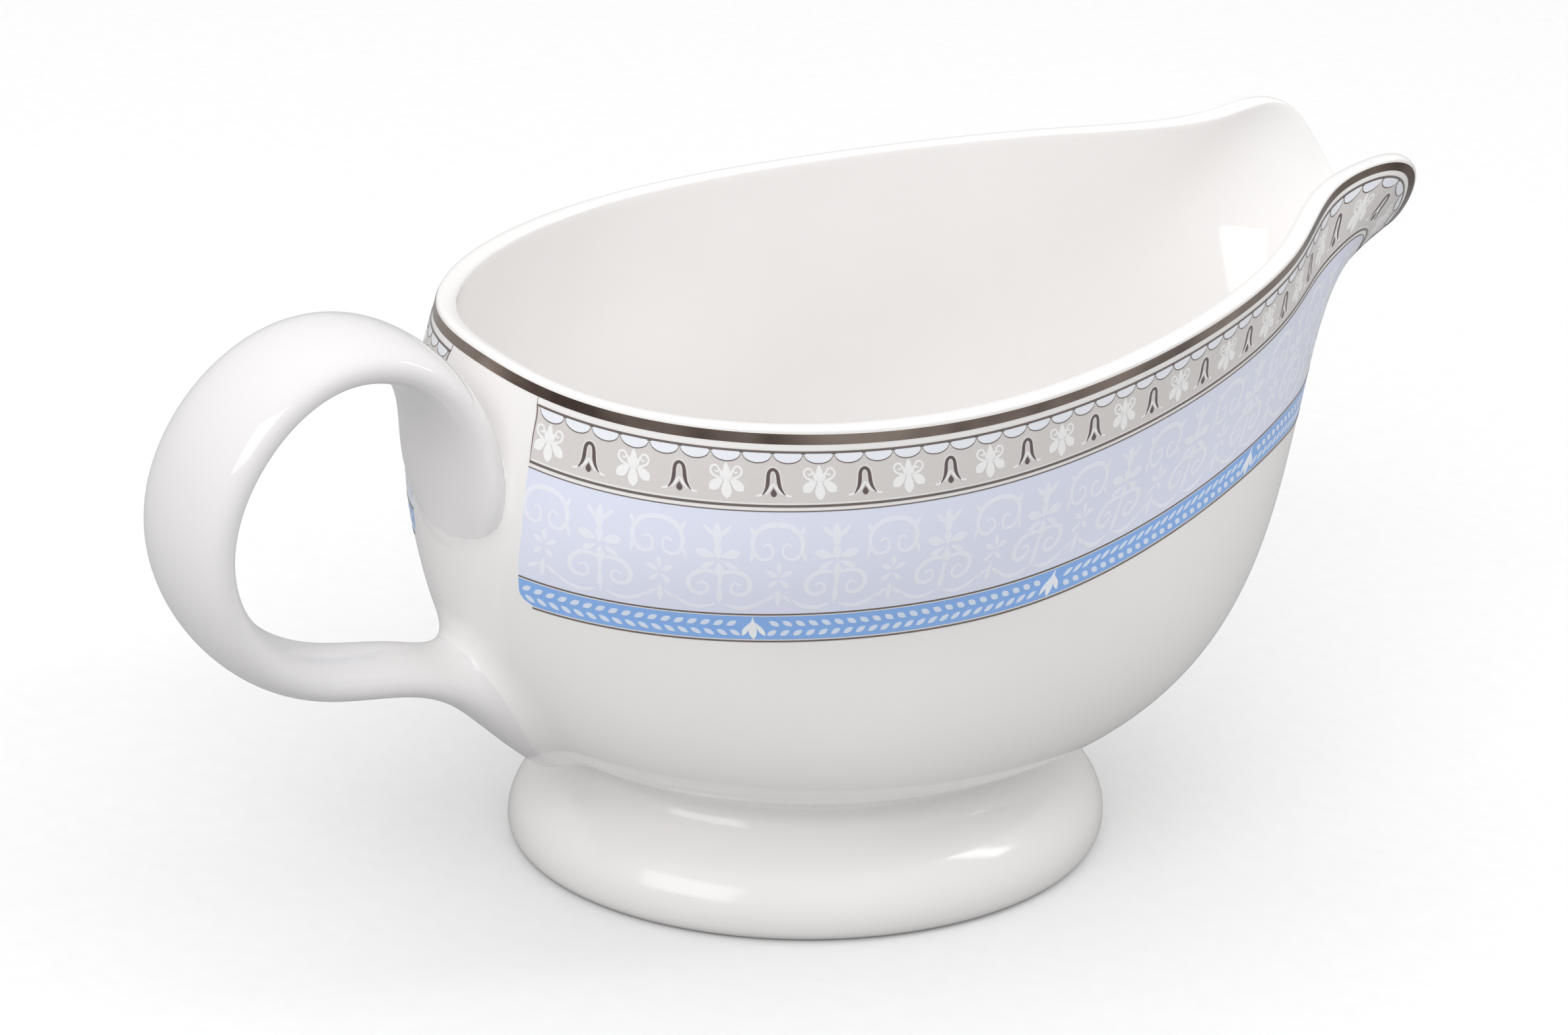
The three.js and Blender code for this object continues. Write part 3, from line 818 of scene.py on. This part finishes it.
dark.piece("frieze_bells", DARK_LIFT, DARK_INK, GREY_SLOT, GREY_NODE)
lines.piece("frieze_lines", LINE_LIFT, LINE_INK, GREY_SLOT, GREY_NODE)

# Pale blue damask with soft white scrolls.
DAMASK_MIDDLE = 19.0
DAMASK_GROUND = (10.98, 26.85)
DAMASK_PERIOD = 16.0
CANDELABRA_START, CANDELABRA_ROOM = -0.28, 3.6  # share of a unit, and the least distance to an end
ARCH_START, ARCH_ROOM = 0.22, (3.4, 4.2)
damask = Band(DAMASK_MIDDLE)
PALE_SLOT, PALE_NODE = "pale_blue_transfer", ("damask_transfer",)
slab("damask_ground", damask, *DAMASK_GROUND, GROUND_LIFT, PALE_BLUE_INK, PALE_SLOT, PALE_NODE)
soft = Inlay(damask, DAMASK_MIDDLE)
units = round(2 * damask.half / DAMASK_PERIOD)
unit = 2 * damask.half / units
# A candelabra of leaves with a scroll on either side of its stem.
for k in range(units + 1):
    at = (-damask.half + unit * (k + CANDELABRA_START), 0)
    if abs(at[0]) > damask.half - CANDELABRA_ROOM:
        continue
    soft.leaf((0, 2.7), (0, 6.3), 1.25, at)
    soft.leaf((0, 0.6), (0, -1.9), 1.2, at, fullest=0.6)
    soft.leaf((0, 0.9), (0, 3.2), 1.1, at, fullest=0.6)
    soft.stroke([(0, -1.6), (0, -3.6), (0, -6.4)], [0.7, 0.4, 0.9, 0.1], at)
    for side in (1, -1):
        soft.leaf((0.2, 1.3), (3.0, 2.1), 1.3, at, side, fullest=0.62)
        soft.leaf((0.3, 4.2), (1.9, 5.9), 0.6, at, side)
        soft.leaf((0.5, 0.6), (2.5, -0.5), 0.8, at, side, fullest=0.6)
        soft.stroke(
            [(0.2, -1.2), (1.5, -0.9), (3.3, -1.4), (4.1, -2.9), (3.4, -4.4), (2.1, -4.5),
             (1.5, -3.5), (2.1, -2.7), (2.9, -3.1)],
            [0.35, 0.6, 0.7, 0.6, 0.45, 0.3], at, side,
        )
        soft.stroke(
            [(0.7, -6.3), (2.6, -6.9), (4.9, -6.3), (6.6, -4.9)], [0.2, 0.6, 0.5, 0.15], at, side
        )
        soft.leaf((4.2, 6.0), (5.0, 4.3), 0.6, at, side)
        soft.leaf((4.6, 2.6), (4.2, 0.6), 0.5, at, side)
# An arch of two scrolls over a small flower, between the candelabra.
for k in range(units + 1):
    at = (-damask.half + unit * (k + ARCH_START), 0)
    if at[0] < -damask.half + ARCH_ROOM[0] or at[0] > damask.half - ARCH_ROOM[1]:
        continue
    for side in (1, -1):
        soft.stroke(
            [(0, 6.2), (1.9, 5.8), (3.15, 4.3), (3.2, 2.4), (2.2, 1.2), (1.0, 1.4),
             (0.65, 2.6), (1.2, 3.4), (1.9, 3.0)],
            [0.7, 0.65, 0.6, 0.5, 0.4, 0.3], at, side,
        )
        soft.leaf((0.1, -1.6), (1.7, -0.7), 0.8, at, side, fullest=0.6)
        soft.leaf((0.1, -2.1), (1.4, -3.3), 0.7, at, side, fullest=0.6)
        soft.leaf((0.4, -4.6), (2.2, -5.9), 0.6, at, side)
    soft.leaf((0, -1.3), (0, 0.6), 0.7, at, fullest=0.6)
    soft.leaf((0, -3.6), (0, -6.6), 0.8, at)
soft.piece("damask_scrolls", SCROLL_LIFT, DAMASK_INK, PALE_SLOT, PALE_NODE)

# Blue laurel border between fine lines.
LAUREL_MIDDLE = 29.4
LAUREL_GROUND, LAUREL_CORNER = (27.35, 31.4), 2.2
LAUREL_LINES = ((26.88, 27.1, 0.0), (31.62, 31.86, 1.7))  # depths, and how far short of the ends
LEAF_PITCH, LEAF_WIDTH, LEAF_STEPS = 1.72, 0.78, 7
ACCENT_SPACING = 45.0
ACCENT_START = 0.72  # share of the spacing
ACCENT_HALF = 1.9
END_GAP = 0.4
laurel = Band(LAUREL_MIDDLE)
BLUE_SLOT, BLUE_NODE = "blue_transfer", ("laurel_transfer",)
slab(
    "laurel_ground", laurel, *LAUREL_GROUND, GROUND_LIFT, BLUE_INK, BLUE_SLOT, BLUE_NODE,
    corner=LAUREL_CORNER,
)
edges = Inlay(laurel, LAUREL_MIDDLE)
for top, bottom, short in LAUREL_LINES:
    edges.line(top, bottom, short)
edges.piece("laurel_lines", LINE_LIFT, LINE_INK, BLUE_SLOT, BLUE_NODE)
leaves = Inlay(laurel, LAUREL_MIDDLE)
accents = Inlay(laurel, LAUREL_MIDDLE)
spots = round(2 * laurel.half / ACCENT_SPACING)
gap = 2 * laurel.half / spots
accent_at = [-laurel.half + gap * (k + ACCENT_START) for k in range(spots)]
reach = laurel.half + ACCENT_HALF - END_GAP
slant = -1
for start, stop in zip([-reach, *accent_at], [*accent_at, reach]):
    room = stop - start - 2 * ACCENT_HALF
    count = int(room / LEAF_PITCH)
    for k in range(count):
        u = start + ACCENT_HALF + (k + 0.5) * room / count
        for root, tip in (((0.75, 0.38), (-0.6, 1.22)), ((0.35, -0.42), (-0.95, -1.28))):
            leaves.leaf(
                (u + slant * root[0], root[1]), (u + slant * tip[0], tip[1]), LEAF_WIDTH,
                steps=LEAF_STEPS,
            )
    slant = -slant
for u in accent_at:
    accents.leaf((u, 1.95), (u - 0.1, -1.95), 1.15, fullest=0.62)
    for side in (1, -1):
        accents.leaf((u + side * 0.3, 1.0), (u + side * 1.55, -1.35), 0.72, fullest=0.6)
leaves.piece("laurel_leaves", PALE_LIFT, LEAF_INK, BLUE_SLOT, BLUE_NODE)
accents.piece("laurel_accents", ACCENT_LIFT, ACCENT_INK, BLUE_SLOT, BLUE_NODE)


# ------------------------------------------------------------------ camera, light and floor
VIEW_AZIMUTH, VIEW_HEIGHT, VIEW_ROLL = -38.1056, 22.1125, 6.987  # degrees
VIEW_CENTRE = (10.0, 0.0, 50.0)
VIEW_OFFSET = (-17.233, -2.79)
VIEW_DISTANCE = 629.3
LENS, SENSOR_WIDTH = 100.1, 36.0
NEAREST_SEEN = 0.01  # metres


def view_axes():
    """The camera's right, up and back directions."""
    a, e, roll = (math.radians(v) for v in (VIEW_AZIMUTH, VIEW_HEIGHT, VIEW_ROLL))
    right = np.array([math.cos(a), math.sin(a), 0])
    back = np.array([math.sin(a) * math.cos(e), -math.cos(a) * math.cos(e), math.sin(e)])
    up = np.cross(back, right)
    turned = right * math.cos(roll) + up * math.sin(roll)
    return turned, np.cross(back, turned), back


def look_along(thing, right, up, back, place):
    """Turns a camera or light to its own axes and puts it at a place in metres."""
    rows = np.array([right, up, back]).T.tolist()
    thing.matrix_world = Matrix([(*row, p) for row, p in zip(rows, place)] + [(0, 0, 0, 1)])


def make_camera():
    right, up, back = view_axes()
    place = np.array(VIEW_CENTRE) + VIEW_OFFSET[0] * right + VIEW_OFFSET[1] * up
    data = bpy.data.cameras.new("camera")
    data.lens, data.sensor_width, data.clip_start = LENS, SENSOR_WIDTH, NEAREST_SEEN
    camera = bpy.data.objects.new("camera", data)
    bpy.context.scene.collection.objects.link(camera)
    look_along(camera, right, up, back, to_world(place + VIEW_DISTANCE * back).tolist())
    bpy.context.scene.camera = camera


def softbox(name, place, aim, size, power):
    """A white rectangular area light; place and aim in millimetres, size in metres."""
    data = bpy.data.lights.new(name, "AREA")
    data.shape, data.size, data.size_y = "RECTANGLE", size[0], size[1]
    data.energy = power
    light = bpy.data.objects.new(name, data)
    bpy.context.scene.collection.objects.link(light)
    back = np.array(place, float) - np.array(aim, float)
    back /= np.linalg.norm(back)
    right = np.cross([0, 0, 1.0], back)
    right /= np.linalg.norm(right)
    look_along(light, right, np.cross(back, right), back, to_world(place).tolist())


FLOOR_HALF = 3000.0
FLOOR_SEEN = ((0.94, 0.94, 0.94, 1), (0.92, 0.92, 0.92, 1))  # the floor's two tones to the camera
FLOOR_BOUNCE = (0.46, 0.46, 0.46, 1)  # and to every other ray, which keeps the undersides shaded


def make_floor():
    h = FLOOR_HALF
    corners = [(-h, -h, 0.0), (h, -h, 0.0), (h, h, 0.0), (-h, h, 0.0)]
    mesh = bpy.data.meshes.new("floor")
    mesh.from_pydata(to_world(corners).tolist(), [], [(0, 1, 2, 3)])
    floor = bpy.data.objects.new("floor", mesh)
    bpy.context.scene.collection.objects.link(floor)
    shader = Shader("floor_paper")
    pale = shader.blend(shader.mottle(300.0, 3.0, 0.0, 1.0), *FLOOR_SEEN)
    rays = shader.add("ShaderNodeLightPath")
    tint = shader.blend(rays.outputs["Is Camera Ray"], FLOOR_BOUNCE, pale)
    mesh.materials.append(shader.set(Base_Color=tint, Roughness=0.9))


# The studio's brightness at the horizon, overhead, and where the camera sees it past the floor.
HORIZON_GLOW, ZENITH_GLOW, SEEN_GLOW = 0.53, 1.12, 0.85
ZENITH_FROM = 0.9  # how high, as a sine, the overhead brightness begins


def make_world():
    """A studio of white walls, brighter overhead."""
    world = bpy.data.worlds.new("studio")
    bpy.context.scene.world = world
    world.use_nodes = True
    tree = world.node_tree
    background = tree.nodes["Background"]
    background.inputs["Color"].default_value = (1, 1, 1, 1)
    place = tree.nodes.new("ShaderNodeTexCoord")
    split = tree.nodes.new("ShaderNodeSeparateXYZ")
    spread = tree.nodes.new("ShaderNodeMapRange")
    spread.inputs["From Max"].default_value = ZENITH_FROM
    spread.inputs["To Min"].default_value = HORIZON_GLOW
    spread.inputs["To Max"].default_value = ZENITH_GLOW
    tree.links.new(place.outputs["Generated"], split.inputs["Vector"])
    tree.links.new(split.outputs["Z"], spread.inputs["Value"])
    rays = tree.nodes.new("ShaderNodeLightPath")
    seen = tree.nodes.new("ShaderNodeMix")  # sockets 0, 2 and 3: the share and its two numbers
    seen.inputs[3].default_value = SEEN_GLOW
    tree.links.new(rays.outputs["Is Camera Ray"], seen.inputs[0])
    tree.links.new(spread.outputs["Result"], seen.inputs[2])
    tree.links.new(seen.outputs[0], background.inputs["Strength"])


make_camera()
make_world()
make_floor()
softbox("key_light", (-840, -560, 700), (0, 0, 60), (0.8, 0.6), 4.0)
softbox("spout_light", (700, -300, 700), (60, 0, 80), (0.12, 0.3), 0.6)
bpy.context.scene.view_settings.view_transform = "Standard"
